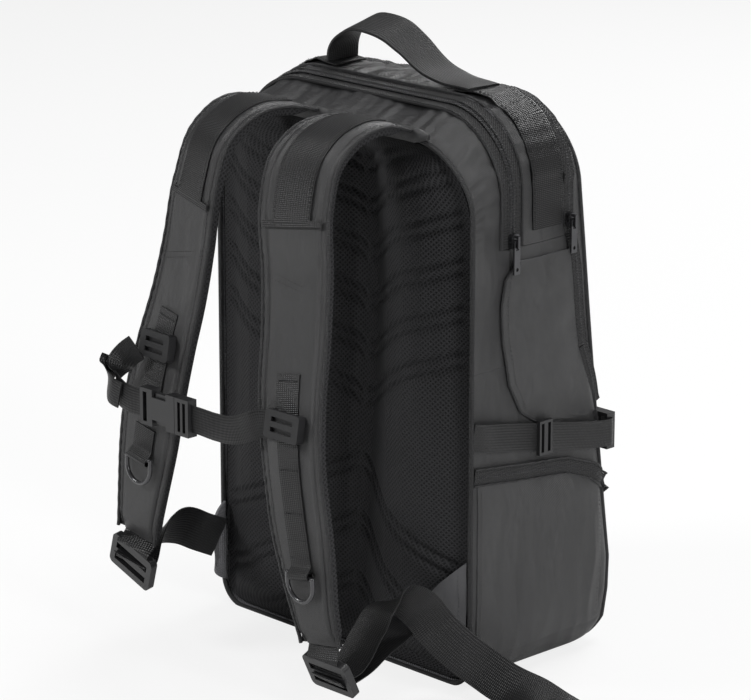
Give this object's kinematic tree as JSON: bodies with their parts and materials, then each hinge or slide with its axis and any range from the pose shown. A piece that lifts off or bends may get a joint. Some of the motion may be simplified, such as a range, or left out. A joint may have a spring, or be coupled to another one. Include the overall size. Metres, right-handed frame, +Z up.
{
  "type": "racket backpack",
  "caption": "Upright padded backpack for rackets with an arched zip lid, contoured mesh back, adjustable shoulder straps, sternum buckle, side pockets and webbing handle.",
  "frame": {"origin": "middle of the flat base, on the floor", "axes": "+X across the bag, seen to the right from the strap side; -Y towards the wearer; +Z up"},
  "size_m": [0.4743, 0.3543, 0.5528],
  "materials": {
    "coated_nylon": "satin coated woven nylon, near-black",
    "spacer_mesh": "three-layer open spacer mesh over foam",
    "stiffener_sheet": "polyethylene sheet",
    "lining": "plain woven lining over foam",
    "zip_tape": "woven tape with nylon coil",
    "webbing": "ribbed nylon webbing, soft sheen",
    "acetal": "moulded acetal, satin",
    "ring_metal": "black enamelled steel wire",
    "zip_metal": "gloss gunmetal die-casting"
  },
  "bodies": {
    "bag": {"tub_shell": "coated_nylon", "back_band": "coated_nylon", "back_panel_pad": "spacer_mesh", "frame_sheet": "stiffener_sheet", "base_board": "stiffener_sheet", "compartment_divider": "lining", "main_zip_rear_tape": "zip_tape", "side_pocket_right": "coated_nylon", "side_pocket_left": "coated_nylon", "lower_pocket_right": "coated_nylon", "lower_pocket_left": "coated_nylon", "lower_zip": "zip_tape", "front_pocket": "coated_nylon", "front_pocket_zip": "zip_tape", "front_zip_lower": "zip_tape", "access_zip_tape": "zip_tape", "compression_webbing": "webbing", "compression_triglides": "acetal", "compression_sockets": "acetal", "strap_yoke": "coated_nylon", "strap_wings": "coated_nylon", "fold_band": "coated_nylon", "right_lower_webbing": "webbing", "left_lower_webbing": "webbing", "compression_wrap_right": "webbing", "compression_wrap_left": "webbing"},
    "lid": {"lid_shell": "coated_nylon", "main_zip_front_tape": "zip_tape", "front_zip_lid": "zip_tape", "carry_handle": "webbing"},
    "right_strap": {"right_strap_pad": "spacer_mesh", "right_strap_webbing": "webbing", "right_ring_loop": "webbing"},
    "right_ring": {"right_d_ring": "ring_metal"},
    "right_lock": {"right_ladder_lock": "acetal"},
    "left_strap": {"left_strap_pad": "spacer_mesh", "left_strap_webbing": "webbing", "left_ring_loop": "webbing"},
    "left_ring": {"left_d_ring": "ring_metal"},
    "left_lock": {"left_ladder_lock": "acetal"},
    "right_slide": {"right_adjuster": "acetal", "sternum_webbing_right": "webbing"},
    "left_slide": {"left_adjuster": "acetal", "sternum_webbing_left": "webbing", "sternum_socket": "acetal"},
    "sternum_release": {"sternum_plug": "acetal"},
    "compression_right": {"compression_plug_right": "acetal"},
    "compression_left": {"compression_plug_left": "acetal"},
    "main_zip_right_slider": {"main_zip_right_slider": "zip_metal"},
    "main_zip_right_pull": {"main_zip_right_pull": "zip_metal"},
    "main_zip_left_slider": {"main_zip_left_slider": "zip_metal"},
    "main_zip_left_pull": {"main_zip_left_pull": "zip_metal"},
    "front_zip_right_slider": {"front_zip_right_slider": "zip_metal"},
    "front_zip_right_pull": {"front_zip_right_pull": "zip_metal"},
    "access_zip_slider": {"access_zip_slider": "zip_metal"},
    "access_zip_pull": {"access_zip_pull": "zip_metal"},
    "lower_zip_slider": {"lower_zip_slider": "zip_metal"},
    "lower_zip_pull": {"lower_zip_pull": "zip_metal"},
    "front_pocket_zip_slider": {"front_pocket_zip_slider": "zip_metal"},
    "front_pocket_zip_pull": {"front_pocket_zip_pull": "zip_metal"}
  },
  "joints": [
    {"name": "lid_fold", "type": "hinge", "parent": "bag", "child": "lid", "pos_m": [0, -0.04, 0.388], "axis": [-1, 0, 0], "range_deg": [0, 40], "deforming": ["fold_band"]},
    {"name": "right_strap_swing", "type": "hinge", "parent": "bag", "child": "right_strap", "pos_m": [0, -0.092, 0.4904], "axis": [-1, 0, 0], "range_deg": [-8, 50], "deforming": ["right_lower_webbing"]},
    {"name": "left_strap_swing", "type": "hinge", "parent": "bag", "child": "left_strap", "pos_m": [0, -0.092, 0.4904], "axis": [-1, 0, 0], "range_deg": [-8, 50], "deforming": ["left_lower_webbing"]},
    {"name": "right_ring_swing", "type": "hinge", "parent": "right_strap", "child": "right_ring", "pos_m": [0.11522, -0.24405, 0.13281], "axis": [-1, 0, 0], "range_deg": [0, 100]},
    {"name": "right_lock_tilt", "type": "hinge", "parent": "right_strap", "child": "right_lock", "pos_m": [0.129, -0.22969, 0.05949], "axis": [1, 0, 0], "range_deg": [-12, 12]},
    {"name": "left_ring_swing", "type": "hinge", "parent": "left_strap", "child": "left_ring", "pos_m": [-0.1042, -0.2334, 0.18406], "axis": [-1, 0, 0], "range_deg": [0, 100]},
    {"name": "left_lock_tilt", "type": "hinge", "parent": "left_strap", "child": "left_lock", "pos_m": [-0.1156, -0.22889, 0.09837], "axis": [0.9135, 0, -0.4067], "range_deg": [-12, 12]},
    {"name": "right_sternum_height", "type": "slide", "parent": "right_strap", "child": "right_slide", "axis": [0, -0.1532, -0.9882], "range_m": [-0.01, 0.008]},
    {"name": "left_sternum_height", "type": "slide", "parent": "left_strap", "child": "left_slide", "axis": [0, -0.1532, -0.9882], "range_m": [-0.01, 0.008]},
    {"name": "sternum_buckle", "type": "slide", "parent": "right_slide", "child": "sternum_release", "axis": [1, 0, 0], "range_m": [0, 0.03], "deforming": ["sternum_webbing_right"]},
    {"name": "compression_buckle_right", "type": "slide", "parent": "bag", "child": "compression_right", "axis": [1, 0, 0], "range_m": [0, 0.03], "deforming": ["compression_wrap_right"]},
    {"name": "compression_buckle_left", "type": "slide", "parent": "bag", "child": "compression_left", "axis": [-1, 0, 0], "range_m": [0, 0.03], "deforming": ["compression_wrap_left"]},
    {"name": "main_zip_right_travel", "type": "slide", "parent": "bag", "child": "main_zip_right_slider", "axis": [0, 0, 1], "range_m": [0, 0.03]},
    {"name": "main_zip_right_pull_swing", "type": "hinge", "parent": "main_zip_right_slider", "child": "main_zip_right_pull", "pos_m": [0.16735, -0.04, 0.3956], "axis": [0, -1, 0], "range_deg": [0, 100]},
    {"name": "main_zip_left_travel", "type": "slide", "parent": "bag", "child": "main_zip_left_slider", "axis": [0, 0, 1], "range_m": [0, 0.03]},
    {"name": "main_zip_left_pull_swing", "type": "hinge", "parent": "main_zip_left_slider", "child": "main_zip_left_pull", "pos_m": [-0.16735, -0.04, 0.3956], "axis": [0, 1, 0], "range_deg": [0, 100]},
    {"name": "front_zip_right_travel", "type": "slide", "parent": "lid", "child": "front_zip_right_slider", "axis": [0, 0, 1], "range_m": [0, 0.03]},
    {"name": "front_zip_right_pull_swing", "type": "hinge", "parent": "front_zip_right_slider", "child": "front_zip_right_pull", "pos_m": [0.16795, 0.03, 0.4026], "axis": [0, -1, 0], "range_deg": [0, 100]},
    {"name": "access_zip_travel", "type": "slide", "parent": "bag", "child": "access_zip_slider", "axis": [0, 0, 1], "range_m": [0, 0.1]},
    {"name": "access_zip_pull_swing", "type": "hinge", "parent": "access_zip_slider", "child": "access_zip_pull", "pos_m": [-0.16795, -0.068, 0.2536], "axis": [0, 1, 0], "range_deg": [0, 100]},
    {"name": "lower_zip_travel", "type": "slide", "parent": "bag", "child": "lower_zip_slider", "axis": [-1, 0, 0], "range_m": [0, 0.15]},
    {"name": "lower_zip_pull_swing", "type": "hinge", "parent": "lower_zip_slider", "child": "lower_zip_pull", "pos_m": [0.0806, 0.09231, 0.147], "axis": [0, 0, -1], "range_deg": [0, 100]},
    {"name": "front_pocket_zip_travel", "type": "slide", "parent": "bag", "child": "front_pocket_zip_slider", "axis": [-1, 0, 0], "range_m": [0, 0.14]},
    {"name": "front_pocket_zip_pull_swing", "type": "hinge", "parent": "front_pocket_zip_slider", "child": "front_pocket_zip_pull", "pos_m": [0.0726, 0.0791, 0.2475], "axis": [0, 0, -1], "range_deg": [0, 100]}
  ],
  "couplings": [
    {"joint": "left_strap_swing", "follows": "right_strap_swing", "ratio": 1},
    {"joint": "left_sternum_height", "follows": "right_sternum_height", "ratio": 1}
  ]
}
